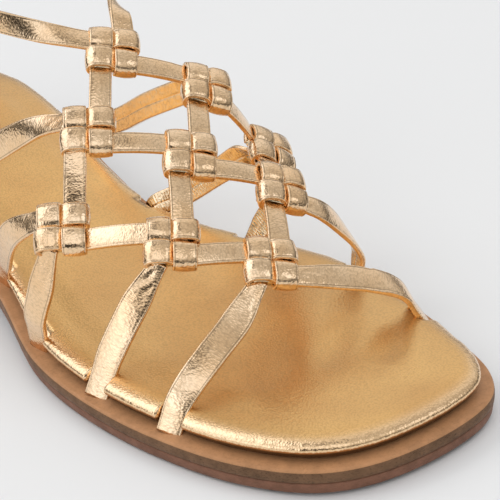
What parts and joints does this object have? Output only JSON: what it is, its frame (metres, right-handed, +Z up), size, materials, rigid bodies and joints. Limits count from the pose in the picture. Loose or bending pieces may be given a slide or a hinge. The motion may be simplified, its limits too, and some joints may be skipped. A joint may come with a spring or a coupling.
{
  "type": "gladiator sandal",
  "caption": "Flat open-toe sandal for the right foot with a woven net of narrow metallic leather straps, an ankle strap and a low heel.",
  "frame": {"origin": "middle of the heel's flat footprint on the floor", "axes": "+Y towards the toe, +X towards the outer side of the right foot, +Z up from the floor"},
  "size_m": [0.0893, 0.2576, 0.1004],
  "materials": {
    "strap_leather": "metallic gold foil leather, crinkled",
    "insole_leather": "metallic gold padded leather, fine grain",
    "ledge_leather": "tan, natural top, stained edge",
    "outsole_leather": "brown, burnished edge",
    "heel_stack": "stacked layers, stained brown",
    "heel_rubber": "matt",
    "buckle_metal": "polished pale gold plating"
  },
  "bodies": {
    "root": {"outsole": "outsole_leather", "midsole": "ledge_leather", "insole": "insole_leather", "heel": "heel_stack", "heel_top_piece": "heel_rubber", "upper": "strap_leather", "ankle_strap_end": "strap_leather", "keeper_loop": "strap_leather", "buckle": "buckle_metal"}
  },
  "joints": []
}
